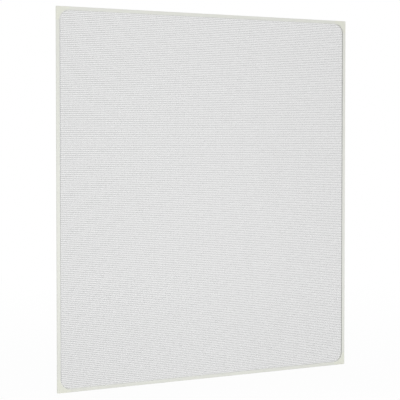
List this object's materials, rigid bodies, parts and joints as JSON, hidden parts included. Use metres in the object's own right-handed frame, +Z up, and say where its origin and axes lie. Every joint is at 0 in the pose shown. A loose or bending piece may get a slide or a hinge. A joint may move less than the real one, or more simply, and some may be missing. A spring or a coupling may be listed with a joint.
{
  "type": "window screen frame",
  "caption": "Slim off-white insect screen for a window: hollow strips and moulded corners with a rounded inner groove, fine grey mesh held by a spline, flat magnets in the back.",
  "frame": {"origin": "middle of the bottom edge, half-way through the frame's depth", "axes": "+X to the right seen from the front, +Y towards the back, +Z up"},
  "size_m": [1.3, 0.008, 1.5],
  "materials": {
    "frame_plastic": "off-white extruded plastic, satin",
    "corner_plastic": "off-white moulded plastic, satin",
    "magnet": "dark brown flexible magnet, matt",
    "spline": "soft off-white strip, matt",
    "mesh_yarn": "grey coated glass-fibre yarn"
  },
  "bodies": {
    "root": {"strip_top": "frame_plastic", "strip_bottom": "frame_plastic", "strip_left": "frame_plastic", "strip_right": "frame_plastic", "corner_top_left": "corner_plastic", "corner_top_right": "corner_plastic", "corner_bottom_left": "corner_plastic", "corner_bottom_right": "corner_plastic", "magnet_top": "magnet", "magnet_bottom": "magnet", "magnet_left": "magnet", "magnet_right": "magnet", "spline": "spline", "screen_mesh": "mesh_yarn"}
  },
  "joints": []
}
